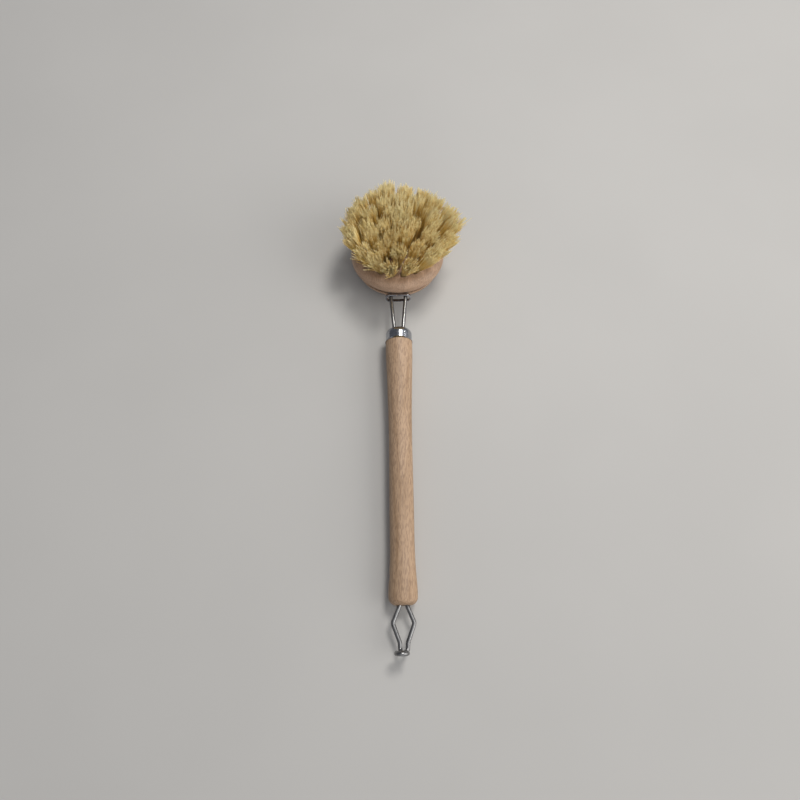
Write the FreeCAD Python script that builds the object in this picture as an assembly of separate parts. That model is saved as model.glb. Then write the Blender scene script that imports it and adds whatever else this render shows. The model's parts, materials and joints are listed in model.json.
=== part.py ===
import FreeCAD, Part
import math
import os

from FreeCAD import Placement, Rotation, Vector

# A dish brush with an exchangeable round head, lying on its back with the bristles up.
# Millimetres. Each piece is built about the handle or about the head, then laid down to rest.
# About the handle: +Y runs along it to the head, +Z is the bristle side, y = 0 is its lower end.
# About the head: +Z is the head's own axis, z = 0 is the middle of its rim groove.

# Clamp wire
wire_d = 2.0
wire_end_gap = 0.15
leg_spacing_bend = 7.7

# Turned handle
handle_length = 129.5
handle_top_d = 13.6
handle_waist_share = 0.838
handle_bulge_share = 0.97
# Spread of the two wire legs in the handle, as shares of its thickness
leg_exit_share = 0.25
leg_top_share = 0.316
handle_end_round = 3.5
bore_clearance = 0.15
# Place along the handle, and swelling from the waist (0) to the bulge or the top (1)
lower_swell_shares = ((0.05, 1.0), (0.095, 0.60), (0.15, 0.18), (0.30, 0.05))
waist_place_share = 0.47
upper_swell_shares = ((0.70, 0.09), (0.83, 0.53), (0.92, 0.90), (1.0, 1.0))

# Ferrule, a drawn cap over the handle's tenon
ferrule_step = 0.1
ferrule_height = 7.2
ferrule_wall = 0.5
ferrule_crown_round = 3.0
ferrule_lip = 0.35
ferrule_lip_height = 0.8
ferrule_fit = 0.05
tenon_clearance = 0.5
slot_clearance = 0.2

# Diamond and hanging loop below the handle
diamond_length = 15.6
diamond_width = 9.7
diamond_middle_share = 0.475
diamond_exit_round = 3.0
diamond_side_round = 2.5
hook_run = 4.0
hook_spacing = 3.5
hook_height = 7.4
hook_round = 2.2
hook_loop_d = 4.8
hook_tilt_deg = 3.0
hook_lean_deg = 11.0

# Neck, from the ferrule to the bend where the wire turns into the plane of the head's groove
neck_length = 19.5
neck_bend_deg = 8.6
neck_bend_round = 4.0
arm_run = 3.1
arm_round = 3.0
arm_wrap_deg = 135.0

# Locking ring of flat strip round both neck legs, leaning with its bristle side towards the head
lock_length = 1.7
lock_wall = 0.6
lock_side_room = 1.3
lock_clearance = 0.12
lock_lean_deg = 24.0
lock_edge_round = 0.2
lock_under_rim = 0.35
seam_width = 0.3
seam_offset = 0.65

# Head block
head_d = 50.0
head_front_height = 8.5
head_shoulder = 4.5
head_face_dome = 1.2
head_rim_share = 0.35
head_undercut = 1.6
groove_depth = 5.3
groove_clearance = 0.3
flange_setback = 2.5
flange_thickness = 3.0
flange_back_round = 2.4

# Bristle tufts in their drilled holes, and the flat anchors that each tuft is folded over
tuft_hole_d = 3.6
tuft_hole_depth = 6.0
tuft_fit = 0.1
tuft_length = 24.0
tuft_tip_gap = 1.4
tuft_tip_crown = 1.0
tuft_margin = 2.9
tuft_splay_deg = 30.0
# Ring, number of tufts, radius as a share of the outer ring's, and start of the ring as a share of its pitch
tuft_ring_shares = (
    ("centre", 1, 0.0, 0.5),
    ("inner", 6, 0.34, 0.5),
    ("middle", 12, 0.68, 0.0),
    ("outer", 18, 1.0, 0.5),
)
anchor_thickness = 0.5
anchor_height = 1.6
anchor_fit = 0.05

# Cuts run past the surface that they open
overrun = 2.0

X_AXIS = Vector(1, 0, 0)
Y_AXIS = Vector(0, 1, 0)
Z_AXIS = Vector(0, 0, 1)
ORIGIN = Vector(0, 0, 0)

wire_r = wire_d / 2
handle_waist_d = handle_top_d * handle_waist_share
handle_bulge_d = handle_top_d * handle_bulge_share
leg_spacing_exit = handle_top_d * leg_exit_share
leg_spacing_top = handle_top_d * leg_top_share
handle_bore_d = leg_spacing_top + wire_d + 2 * bore_clearance
ferrule_r = handle_top_d / 2 - ferrule_step
ferrule_top = handle_length + ferrule_height
ferrule_shoulder = ferrule_top - ferrule_crown_round
pivot_y = ferrule_top - ferrule_wall / 2
bend_y = pivot_y + neck_length
leg_flare = math.atan2((leg_spacing_bend - leg_spacing_top) / 2, neck_length)
groove_width = wire_d + 2 * groove_clearance
groove_core_r = head_d / 2 - groove_depth
arm_ring_r = groove_core_r + groove_clearance + wire_r
flange_r = head_d / 2 - flange_setback
face_r = head_d / 2 - head_shoulder
tuft_ring_r = face_r - tuft_margin


def bent_path(corners, rounds):
    """Edges of straight runs through the corners, joined by tangent arcs of the given radii."""
    edges = []
    start = corners[0]
    for before, corner, after, radius in zip(corners, corners[1:], corners[2:], rounds):
        run_in = (corner - before).normalize()
        run_out = (after - corner).normalize()
        half_turn = run_in.getAngle(run_out) / 2
        reach = radius * math.tan(half_turn)
        inward = (run_out - run_in).normalize()
        arc_start = corner - run_in * reach
        arc_middle = corner + inward * (radius / math.cos(half_turn) - radius)
        arc_end = corner + run_out * reach
        edges.append(Part.LineSegment(start, arc_start).toShape())
        edges.append(Part.Arc(arc_start, arc_middle, arc_end).toShape())
        start = arc_end
    edges.append(Part.LineSegment(start, corners[-1]).toShape())
    return edges


def wire_rod(edges):
    """Round wire swept along the edges."""
    path = Part.Wire(edges)
    first = edges[0]
    direction = first.tangentAt(first.FirstParameter)
    section = Part.Wire(Part.makeCircle(wire_r, first.firstVertex().Point, direction))
    sweep = Part.BRepOffsetAPI.MakePipeShell(path)
    sweep.add(section)
    sweep.build()
    sweep.makeSolid()
    return Part.Solid(sweep.shape())


def turned(edges, axis):
    """Solid of revolution of a closed outline that starts and ends on the axis."""
    return Part.Face(Part.Wire(edges)).revolve(ORIGIN, axis, 360)


def polyline(points):
    return [Part.LineSegment(a, b).toShape() for a, b in zip(points, points[1:])]


def tangent_arc(edge_point, rim_point):
    """Arc in the XZ plane from edge_point to rim_point, running parallel to Z at rim_point."""
    across = rim_point.x - edge_point.x
    along = edge_point.z - rim_point.z
    radius = (across ** 2 + along ** 2) / (2 * across)
    centre = Vector(rim_point.x - radius, 0, rim_point.z)
    half_angle = math.atan2(along, edge_point.x - centre.x) / 2
    middle = centre + Vector(radius * math.cos(half_angle), 0, radius * math.sin(half_angle))
    return Part.Arc(edge_point, middle, rim_point).toShape()


def handle_radius(swell_share, swell_d):
    return (handle_waist_d + swell_share * (swell_d - handle_waist_d)) / 2


def handle():
    """Turned wood with a rounded lower end, a slim waist, a tenon and a lengthwise bore."""
    bulge_r = handle_bulge_d / 2
    top_r = handle_top_d / 2
    tenon_r = ferrule_r - ferrule_wall - ferrule_fit
    tenon_top = ferrule_shoulder - tenon_clearance
    lower = [Vector(handle_radius(s, handle_bulge_d), p * handle_length, 0) for p, s in lower_swell_shares]
    upper = [Vector(handle_radius(s, handle_top_d), p * handle_length, 0) for p, s in upper_swell_shares]
    waist = Vector(handle_waist_d / 2, waist_place_share * handle_length, 0)
    round_start = Vector(bulge_r - handle_end_round, 0, 0)
    round_end = Vector(bulge_r, handle_end_round, 0)
    round_reach = handle_end_round * math.sqrt(0.5)
    round_middle = Vector(round_start.x + round_reach, handle_end_round - round_reach, 0)
    side = Part.BSplineCurve()
    side.interpolate([round_end] + lower + [waist] + upper, InitialTangent=Y_AXIS, FinalTangent=Y_AXIS)
    edges = polyline([ORIGIN, round_start])
    edges.append(Part.Arc(round_start, round_middle, round_end).toShape())
    edges.append(side.toShape())
    edges += polyline([
        Vector(top_r, handle_length, 0),
        Vector(tenon_r, handle_length, 0),
        Vector(tenon_r, tenon_top, 0),
        Vector(0, tenon_top, 0),
        ORIGIN,
    ])
    wood = turned(edges, Y_AXIS)
    bore = Part.makeCylinder(handle_bore_d / 2, tenon_top + 2 * overrun, Vector(0, -overrun, 0), Y_AXIS)
    return wood.cut(bore)


def obround(length, width, depth, y):
    """Bar of obround section, its length along X, its depth along +Y from y."""
    half_run = (length - width) / 2
    half_width = width / 2
    corners = [
        Vector(-half_run, y, half_width),
        Vector(half_run, y, half_width),
        Vector(half_run, y, -half_width),
        Vector(-half_run, y, -half_width),
    ]
    right = Part.Arc(corners[1], Vector(length / 2, y, 0), corners[2])
    left = Part.Arc(corners[3], Vector(-length / 2, y, 0), corners[0])
    edges = [
        Part.LineSegment(corners[0], corners[1]).toShape(),
        right.toShape(),
        Part.LineSegment(corners[2], corners[3]).toShape(),
        left.toShape(),
    ]
    return Part.Face(Part.Wire(edges)).extrude(Vector(0, depth, 0))


def ferrule():
    """Drawn cap with a rounded crown and a flared lip, slotted for the two wire legs."""
    inner_r = ferrule_r - ferrule_wall
    flat_r = ferrule_r - ferrule_crown_round
    inside_y = ferrule_top - ferrule_wall
    outer_reach = ferrule_crown_round * math.sqrt(0.5)
    inner_reach = (ferrule_crown_round - ferrule_wall) * math.sqrt(0.5)
    edges = polyline([Vector(0, ferrule_top, 0), Vector(flat_r, ferrule_top, 0)])
    edges.append(Part.Arc(
        Vector(flat_r, ferrule_top, 0),
        Vector(flat_r + outer_reach, ferrule_shoulder + outer_reach, 0),
        Vector(ferrule_r, ferrule_shoulder, 0),
    ).toShape())
    edges += polyline([
        Vector(ferrule_r, ferrule_shoulder, 0),
        Vector(ferrule_r, handle_length + ferrule_lip_height, 0),
        Vector(ferrule_r + ferrule_lip, handle_length, 0),
        Vector(inner_r, handle_length, 0),
        Vector(inner_r, ferrule_shoulder, 0),
    ])
    edges.append(Part.Arc(
        Vector(inner_r, ferrule_shoulder, 0),
        Vector(flat_r + inner_reach, ferrule_shoulder + inner_reach, 0),
        Vector(flat_r, inside_y, 0),
    ).toShape())
    edges += polyline([Vector(flat_r, inside_y, 0), Vector(0, inside_y, 0), Vector(0, ferrule_top, 0)])
    slot_width = wire_d + 2 * slot_clearance
    slot = obround(leg_spacing_top + slot_width, slot_width, ferrule_crown_round + overrun, ferrule_shoulder)
    return turned(edges, Y_AXIS).cut(slot)


def hook_corners(side):
    """Corners of one wire leg from its cut end in the ferrule to where its upright meets the loop."""
    leg_end_y = pivot_y - wire_r - wire_end_gap
    hook_base = Vector(side * hook_spacing / 2, -diamond_length - hook_run, 0)
    return [
        Vector(side * leg_spacing_top / 2, leg_end_y, 0),
        Vector(side * leg_spacing_exit / 2, 0, 0),
        Vector(side * diamond_width / 2, -diamond_length * diamond_middle_share, 0),
        Vector(side * hook_spacing / 2, -diamond_length, 0),
        hook_base,
        loop_touch(hook_base, side),
    ]


def hook_direction():
    lean = math.radians(hook_lean_deg)
    tilt = math.radians(hook_tilt_deg)
    return Vector(-math.tan(lean), -math.tan(tilt), 1).normalize()


def loop_centre():
    """Centre of the hanging loop's round, up the lean from between the feet of its uprights."""
    foot = Vector(0, -diamond_length - hook_run, 0)
    return foot + hook_direction() * (hook_height - hook_loop_d / 2)


def loop_touch(hook_base, side):
    """Where an upright from hook_base runs into the loop's round without a corner."""
    loop_r = hook_loop_d / 2
    inward = loop_centre() - hook_base
    across = inward.cross(hook_direction().cross(X_AXIS)).normalize() * side
    turn = math.acos(loop_r / inward.Length)
    return loop_centre() + (across * math.sin(turn) - inward.normalize() * math.cos(turn)) * loop_r


def hanging_hook():
    """Both legs through the handle, the diamond below it and the upturned loop, in one bent wire."""
    rounds = [diamond_exit_round, diamond_side_round, diamond_exit_round, hook_round]
    left = hook_corners(-1)
    right = hook_corners(1)
    loop_top = loop_centre() + hook_direction() * hook_loop_d / 2
    loop = Part.Arc(left[-1], loop_top, right[-1]).toShape()
    up_right = bent_path(right, rounds)
    down_right = [edge.reversed() for edge in reversed(up_right)]
    return wire_rod(bent_path(left, rounds) + [loop] + down_right)


def groove_placement():
    """From the head's own frame to the handle's: the wire's bend tips the groove forward."""
    turn = Rotation(X_AXIS, -neck_bend_deg)
    return Placement(Vector(0, bend_y, 0) + turn.multVec(Vector(0, groove_centre_run(), 0)), turn)


def arm_round_centre():
    """Centre of the arc from the leg to the ring, across from the middle and on from the bend."""
    across = leg_spacing_bend / 2 + arm_run * math.sin(leg_flare) + arm_round * math.cos(leg_flare)
    onward = arm_run * math.cos(leg_flare) - arm_round * math.sin(leg_flare)
    return across, onward


def groove_centre_run():
    """Distance from the bend to the head's axis, in the plane of the groove."""
    across, onward = arm_round_centre()
    return onward + math.sqrt((arm_ring_r + arm_round) ** 2 - across ** 2)


def clamp_arm(side):
    """Neck leg with a ball end in the ferrule's slot, bent and wrapped round the head's groove."""
    tilt = math.radians(neck_bend_deg)
    run = groove_centre_run()

    def in_groove_plane(across, onward):
        return Vector(side * across, bend_y + onward * math.cos(tilt), -onward * math.sin(tilt))

    def on_ring(angle):
        return in_groove_plane(arm_ring_r * math.sin(angle), run - arm_ring_r * math.cos(angle))

    across, onward = arm_round_centre()
    leg_start = Vector(side * leg_spacing_top / 2, pivot_y, 0)
    bend = Vector(side * leg_spacing_bend / 2, bend_y, 0)
    run_x = leg_spacing_bend / 2 + arm_run * math.sin(leg_flare)
    leg_end = in_groove_plane(run_x, arm_run * math.cos(leg_flare))
    ring_start_angle = math.atan2(across, run - onward)
    ring_start = on_ring(ring_start_angle)
    wrap = math.radians(arm_wrap_deg)
    ring_middle = on_ring((ring_start_angle + wrap) / 2)
    ring_end = on_ring(wrap)
    round_centre = in_groove_plane(across, onward)
    halfway = ((leg_end + ring_start) / 2 - round_centre).normalize()
    edges = bent_path([leg_start, bend, leg_end], [neck_bend_round])
    edges.append(Part.Arc(leg_end, round_centre + halfway * arm_round, ring_start).toShape())
    edges.append(Part.Arc(ring_start, ring_middle, ring_end).toShape())
    return wire_rod(edges).fuse(Part.makeSphere(wire_r, leg_start)).removeSplitter()


def rim_height():
    """Height of the head's widest circle above the middle of the groove."""
    return groove_width / 2 + head_front_height * head_rim_share


def lock_ring():
    """Flat strip bent to an obround loop round both neck legs, its ends butted on the bristle side."""
    lean = math.radians(lock_lean_deg)
    inner_length = leg_spacing_bend + wire_d + 2 * lock_side_room
    inner_width = (wire_d + lock_length * math.sin(lean)) / math.cos(lean) + 2 * lock_clearance
    outer_width = inner_width + 2 * lock_wall
    back_y = -lock_length / 2
    strip = obround(inner_length + 2 * lock_wall, outer_width, lock_length, back_y)
    strip = strip.makeFillet(lock_edge_round, strip.Edges)
    hole = obround(inner_length, inner_width, lock_length + 2 * overrun, back_y - overrun)
    seam_corner = Vector(-seam_offset - seam_width / 2, back_y - overrun, 0)
    seam_height = outer_width / 2 + overrun
    seam = Part.makeBox(seam_width, lock_length + 2 * overrun, seam_height, seam_corner)
    ring = strip.cut(hole).cut(seam)
    rim = groove_placement().multVec(Vector(0, -head_d / 2, rim_height()))
    reach = lock_length / 2 * math.cos(lean) + outer_width / 2 * math.sin(lean)
    ring.Placement = Placement(Vector(0, rim.y + lock_under_rim - reach, 0), Rotation(X_AXIS, -lock_lean_deg))
    return ring


def face_height(radius):
    """Height of the domed bristle face above the middle of the groove."""
    return groove_width / 2 + head_front_height - head_face_dome * (radius / face_r) ** 2


def tuft_placements(count, ring_share, start_share):
    """Where each tuft of a ring leaves the face, with +Z along the tuft and +X outward."""
    ring_r = tuft_ring_r * ring_share
    splay = Rotation(Y_AXIS, tuft_splay_deg * ring_share)
    placements = []
    for place in range(count):
        turn = Rotation(Z_AXIS, 360 * (place + start_share) / count - 90)
        foot = turn.multVec(Vector(ring_r, 0, face_height(ring_r)))
        placements.append(Placement(foot, turn.multiply(splay)))
    return placements


def head_block():
    """Turned wood: a bun-shaped front, the rim groove and a thin back flange, drilled for the tufts."""
    rim_r = head_d / 2
    half_groove = groove_width / 2
    back_z = -half_groove - flange_thickness
    crown = Vector(0, 0, face_height(0))
    face_edge = Vector(face_r, 0, face_height(face_r))
    face_middle = Vector(face_r / 2, 0, face_height(face_r / 2))
    rim = Vector(rim_r, 0, rim_height())
    underside = Vector(rim_r - head_undercut, 0, half_groove)
    back_reach = flange_back_round * math.sqrt(0.5)
    back_centre = Vector(flange_r - flange_back_round, 0, back_z + flange_back_round)
    edges = [Part.Arc(crown, face_middle, face_edge).toShape(), tangent_arc(face_edge, rim)]
    edges.append(tangent_arc(underside, rim))
    edges += polyline([
        underside,
        Vector(groove_core_r, 0, half_groove),
        Vector(groove_core_r, 0, -half_groove),
        Vector(flange_r, 0, -half_groove),
        Vector(flange_r, 0, back_centre.z),
    ])
    edges.append(Part.Arc(
        Vector(flange_r, 0, back_centre.z),
        back_centre + Vector(back_reach, 0, -back_reach),
        Vector(back_centre.x, 0, back_z),
    ).toShape())
    edges += polyline([Vector(back_centre.x, 0, back_z), Vector(0, 0, back_z), crown])
    wood = turned(edges, Z_AXIS)
    holes = []
    for _, count, ring_share, start_share in tuft_ring_shares:
        for placement in tuft_placements(count, ring_share, start_share):
            hole_foot = Vector(0, 0, -tuft_hole_depth)
            hole = Part.makeCylinder(tuft_hole_d / 2, tuft_hole_depth + tuft_hole_d, hole_foot)
            hole.Placement = placement
            holes.append(hole)
    return wood.cut(holes)


def tuft_tip(ring_share):
    """Tip of a tuft, outward from the head's axis and up from the groove."""
    splay = math.radians(tuft_splay_deg * ring_share)
    ring_r = tuft_ring_r * ring_share
    foot = Vector(ring_r, 0, face_height(ring_r))
    return foot + Vector(math.sin(splay), 0, math.cos(splay)) * tuft_length


def tuft_tip_spacing():
    """Distance between the tips of the two outermost rings, where the tufts stand closest."""
    middle_share = tuft_ring_shares[-2][2]
    outer_share = tuft_ring_shares[-1][2]
    return (tuft_tip(outer_share) - tuft_tip(middle_share)).Length


def tuft():
    """Bundle of fibres: a cylinder in its hole, flaring to a crowned tip, folded over its anchor."""
    foot_r = tuft_hole_d / 2 - tuft_fit
    collar = tuft_hole_d / 2 * math.tan(math.radians(tuft_splay_deg))
    tip_r = (tuft_tip_spacing() - tuft_tip_gap) / 2
    tip = Vector(0, 0, tuft_length)
    tip_edge = Vector(tip_r, 0, tuft_length - tuft_tip_crown)
    crown_r = (tip_r ** 2 + tuft_tip_crown ** 2) / (2 * tuft_tip_crown)
    crown_angle = math.asin(tip_r / crown_r) / 2
    crown_middle = tip + Vector(crown_r * math.sin(crown_angle), 0, crown_r * (math.cos(crown_angle) - 1))
    foot = Vector(0, 0, -tuft_hole_depth)
    edges = polyline([foot, Vector(foot_r, 0, -tuft_hole_depth), Vector(foot_r, 0, collar), tip_edge])
    edges.append(Part.Arc(tip_edge, crown_middle, tip).toShape())
    edges += polyline([tip, foot])
    return turned(edges, Z_AXIS).cut(anchor_bar(tuft_hole_d, anchor_fit))


def anchor_bar(width, room):
    """Flat bar across the foot of a tuft's hole, with room all round it."""
    thickness = anchor_thickness + 2 * room
    corner = Vector(-thickness / 2, -width / 2, -tuft_hole_depth)
    return Part.makeBox(thickness, width, anchor_height + room, corner)


def anchor():
    return anchor_bar(tuft_hole_d - 2 * tuft_fit, 0)


def rest_angle():
    """Slope of the handle in degrees when its lower bulge and the far edge of the head's back both rest."""
    back = groove_width / 2 + flange_thickness
    far_edge = Vector(0, flange_r - flange_back_round, flange_back_round - back)
    edge = groove_placement().multVec(far_edge)
    level = edge.y - handle_end_round
    drop = edge.z + handle_bulge_d / 2 - handle_end_round
    return math.degrees(
        math.asin((flange_back_round - handle_end_round) / math.hypot(level, drop)) - math.atan2(drop, level)
    )


def build_pieces():
    """Every node's shape, in the handle's frame."""
    pieces = {
        "handle": handle(),
        "ferrule": ferrule(),
        "hanging_hook": hanging_hook(),
        "left_clamp_arm": clamp_arm(-1),
        "right_clamp_arm": clamp_arm(1),
        "lock_ring": lock_ring(),
    }
    head = groove_placement()
    block = head_block()
    block.Placement = head
    pieces["head_block"] = block
    for ring, count, ring_share, start_share in tuft_ring_shares:
        bars = []
        for number, placement in enumerate(tuft_placements(count, ring_share, start_share), 1):
            bundle = tuft()
            bundle.Placement = head.multiply(placement)
            name = f"tuft_{ring}" if count == 1 else f"tuft_{ring}_{number:02d}"
            pieces[name] = bundle
            bar = anchor()
            bar.Placement = head.multiply(placement)
            bars.append(bar)
        pieces[f"anchors_{ring}"] = Part.makeCompound(bars)
    return pieces


def laid_down(pieces):
    """The placement that rests the brush on z = 0, centred on the origin."""
    tilt = Placement(ORIGIN, Rotation(X_AXIS, rest_angle()))
    tilted = [shape.transformed(tilt.toMatrix(), copy=True) for shape in pieces.values()]
    box = Part.makeCompound(tilted).optimalBoundingBox(False, False)
    return Placement(Vector(-box.Center.x, -box.Center.y, -box.ZMin), tilt.Rotation), box


os.makedirs("parts", exist_ok=True)
pieces = build_pieces()
rest, box = laid_down(pieces)
for name, shape in pieces.items():
    shape.transformed(rest.toMatrix(), copy=True).exportStep(f"parts/{name}.step")

head_at_rest = rest.multiply(groove_placement())
print("size", box.XLength, box.YLength, box.ZLength)
print("handle slope", rest_angle())
print("pivots", [tuple(rest.multVec(Vector(side * leg_spacing_top / 2, pivot_y, 0))) for side in (-1, 1)])
print("handle axis", tuple(rest.Rotation.multVec(Y_AXIS)))
print("head centre", tuple(head_at_rest.Base), "axis", tuple(head_at_rest.Rotation.multVec(Z_AXIS)))
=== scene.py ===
"""Dish brush: wood, plated metal and fibre finishes, the bristles, and the stage that shows it."""

import json
import math

import bpy
from bpy.props import FloatProperty, FloatVectorProperty, IntProperty, PointerProperty
from mathutils import Matrix, Vector


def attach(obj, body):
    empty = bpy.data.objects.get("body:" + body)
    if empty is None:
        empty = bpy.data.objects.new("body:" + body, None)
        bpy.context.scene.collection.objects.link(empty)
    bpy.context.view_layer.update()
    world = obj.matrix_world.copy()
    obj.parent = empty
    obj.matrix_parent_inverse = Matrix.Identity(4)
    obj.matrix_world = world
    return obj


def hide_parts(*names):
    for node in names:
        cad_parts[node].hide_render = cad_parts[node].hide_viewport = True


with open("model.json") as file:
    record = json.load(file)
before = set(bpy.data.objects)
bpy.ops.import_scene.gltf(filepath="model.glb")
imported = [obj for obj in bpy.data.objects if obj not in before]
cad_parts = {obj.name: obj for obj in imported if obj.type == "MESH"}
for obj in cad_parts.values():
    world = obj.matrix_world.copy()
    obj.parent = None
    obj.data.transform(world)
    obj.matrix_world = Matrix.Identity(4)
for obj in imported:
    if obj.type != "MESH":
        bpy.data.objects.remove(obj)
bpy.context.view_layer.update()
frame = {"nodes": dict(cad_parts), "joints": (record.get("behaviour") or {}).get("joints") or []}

bl_info = {
    "name": "Dish Brush",
    "version": (1, 0, 0),
    "blender": (4, 5, 0),
    "location": "3D View > Sidebar > Dish Brush",
    "description": "Finishes the packed dish brush, grows its bristles and sets the stage",
    "category": "Object",
}

MM = 0.001

HEAD_JOINT = next(joint for joint in frame["joints"] if joint["name"] == "head_spin")
HEAD_CENTRE = Vector(HEAD_JOINT["pos_m"])
HEAD_AXIS = Vector(HEAD_JOINT["axis"])
SIDE_AXIS = Vector((1, 0, 0))
ONWARD_AXIS = Vector((0, 1, 0))

# Grain of each turned piece: its offset from the pith, tilt of the grain in degrees, strength of the flecks
GRAINS = {
    "handle": ((4.2 * MM, 0, 9.0 * MM), (1.2, 0, 2.4), 0.42),
    "head": ((11.0 * MM, 0, 26.0 * MM), (-4, 0, 6), 0.25),
}
# How far the growth rings stray, in rings
RING_DRIFT = 2.4
# How much each mark darkens the wood, and how much it raises the surface
DARK_SHARES = {"late wood": 0.42, "wood streaks": 0.32, "wood cloud": 0.25, "wood pores": 0.3}
RAISED_SHARES = {"wood streaks": 0.6, "wood pores": -0.7}

# Noise of each finish: waves in a metre along each axis, detail, and roughness of the detail
PATTERNS = {
    "ring drift": ((95, 14, 95), 3, 0.5),
    "wood streaks": ((900, 30, 900), 3, 0.6),
    "wood cloud": ((60, 22, 60), 2, 0.5),
    "wood pores": ((5200, 420, 5200), 1, 0.5),
    "wood rub": ((260, 40, 260), 2, 0.5),
    "plating haze": ((420, 420, 420), 3, 0.5),
    "cap scratches": ((300, 5200, 300), 2, 0.6),
    "strip scratches": ((400, 3000, 3000), 2, 0.6),
    "wire marks": ((1800, 90, 1800), 2, 0.6),
    "wire spots": ((380, 380, 380), 2, 0.5),
    "table mottle": ((9, 9, 9), 3, 0.5),
}
# Levels between which each mark goes from none to full
BANDS = {
    "late wood": (0.35, 0.97),
    "wood streaks": (0.36, 0.66),
    "wood cloud": (0.3, 0.7),
    "wood flecks": (0.48, 0.6),
    "wood pores": (0.56, 0.72),
    "wood rub": (0.3, 0.7),
    "plating haze": (0.4, 0.72),
    "plating scratches": (0.45, 0.75),
    "wire marks": (0.35, 0.7),
    "wire spots": (0.58, 0.75),
    "root shade to straw": (0.08, 0.55),
    "straw to tip": (0.58, 0.9),
    "brown fibres": (0.46, 0.08),
    "pale fibres": (0.48, 0.8),
    "pale ends": (0.3, 0.8),
    "table mottle": (0.3, 0.7),
}
# How far a mark takes the roughness below and above its setting
ROUGHNESS_SPANS = {"wood rub": (-0.07, 0.08), "plating scratches": (0.0, 0.12), "wire marks": (-0.06, 0.12)}
# Depth and strength of each relief
RELIEFS = {"wood": (0.06 * MM, 0.35), "plating": (0.01 * MM, 0.2), "wire": (0.008 * MM, 0.2)}
# Share of its brightness that a finish keeps in its darker places
DARKER_SHARES = {"plating": 0.86, "wire": 0.7, "table": 0.97}
# How much rougher the ring is than the ferrule, and the anchors than the wire
STRIP_EXTRA_ROUGHNESS = 0.04
ANCHOR_EXTRA_ROUGHNESS = 0.1

# Brown fibres as shares of the straw tint, pale ones as shares of the tip tint
BROWN_SHARES = (0.66, 0.56, 0.42)
PALE_SHARES = (1.0, 1.03, 1.06)
BROWN_DEPTH = 0.7
# From the root to the tip of a fibre
PALE_DEPTHS = (0.2, 0.95)
FIBRE_ROUGHNESS = (0.42, 0.6)

# Each ring of tufts: how many, its radius as a share of the outer ring's, and its start as a share
# of its pitch
TUFT_RINGS = {
    "centre": (1, 0.0, 0.5),
    "inner": (6, 0.34, 0.5),
    "middle": (12, 0.68, 0.0),
    "outer": (18, 1.0, 0.5),
}
RING_SEED_STEP = 100
FIBRE_SIDES = 3
FIBRE_STATIONS = 4
GOLDEN_TURN = (3 - math.sqrt(5)) / 2
# How much of a fibre's cut and tone is its own, and how much it has from its clump, lock or tuft
CUT_SHARES = {"fibre": 0.55, "lock": 0.25, "tuft": 0.2}
TONE_SHARES = {"fibre": 0.2, "clump": 0.5, "lock": 0.3}
# Powers that set how cuts, the places of clumps in a lock, and bends along a fibre are spread
CUT_POWER = 0.9
RIM_POWER = 0.7
BEND_POWER = 1.5
# Share by which a clump opens and a fibre thins towards the tip
CLUMP_OPENING = 1.2
TIP_TAPER = 0.55
TAPER_POWER = 3
# Share of all fibres that stray, and of those in the near corner that fray
STRAY_SHARE = 0.015
FRAYED_SHARE = 0.1
# Least share of the full fray, and what pulls frayed fibres to the left and down
FRAY_LEAST_SHARE = 0.2
FRAY_PULL = (-0.5, 0, -0.4)
# Share of the fibres' map that tone and place span, and the room for the sides of a fibre
CHART_SPAN = 0.97
CHART_EDGE = 0.01

# Edges of the worn zones about the head's axis: where the wear starts and where it is full
WEAR_EDGES = {
    "pushed from near": ("Y", -31 * MM, -24 * MM),
    "pushed to far": ("Y", 26 * MM, 14 * MM),
    "pushed on left": ("X", 8 * MM, -12 * MM),
    "pushed on right": ("X", 14 * MM, 26 * MM),
    "pressed near": ("Y", -17 * MM, -26 * MM),
    "pressed from middle": ("X", 4 * MM, 11 * MM),
    "pressed to right": ("X", 32 * MM, 14 * MM),
    "swept near": ("Y", 4 * MM, -14 * MM),
    "swept on left": ("X", -6 * MM, -13 * MM),
    "swept on right": ("X", 7 * MM, 14 * MM),
    "frayed on left": ("X", -4 * MM, -10 * MM),
    "frayed near": ("Y", -8 * MM, -16 * MM),
}

# Each random draw: the group that shares its outcome, and its number, which is added to the seed
DRAWS = {
    "fibre cut": ("fibre", 1),
    "tuft cut": ("tuft", 1),
    "clump rim": ("clump", 2),
    "clump turn": ("clump", 3),
    "fibre step": ("fibre", 5),
    "clump step": ("clump", 8),
    "tuft step": ("tuft", 11),
    "clump tone": ("clump", 12),
    "fibre tone": ("fibre", 13),
    "stray": ("fibre", 14),
    "stray step": ("fibre", 15),
    "frayed": ("fibre", 18),
    "fray reach": ("fibre", 19),
    "lock cut": ("lock", 20),
    "lock rim": ("lock", 21),
    "tuft turn": ("tuft", 23),
    "lock tone": ("lock", 24),
}

# Each lamp: its place, the side of its square, and its power in watts
LAMPS = {
    "ceiling lamp": ((0.27, 0.39, 0.92), 0.28, 5.2),
    "side lamp": ((0.86, -0.24, 0.56), 0.70, 3.5),
    "right window": ((0.75, 0.50, 0.51), 0.04, 0.12),
}
BRIGHT_SIDE = Vector((0.62, -0.62, 0.48)).normalized()
# From the middle of the table to its edges, in metres
TABLE_REACH = 3.0
# Width of the camera's sensor in millimetres
SENSOR_WIDTH = 36
CLIP_START = 1 * MM

# Sockets that share their name with those of other data types, by number
MIX_FIRST, MIX_SECOND, MIX_RESULT = 6, 7, 2
RANDOM_LOW, RANDOM_HIGH, RANDOM_VALUE = 2, 3, 1


# Settings that the panel shows

def tint(name, description, default):
    """Setting for a linear colour."""
    return FloatVectorProperty(
        name=name, description=description, default=default, subtype="COLOR", size=3, min=0, max=1)


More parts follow.
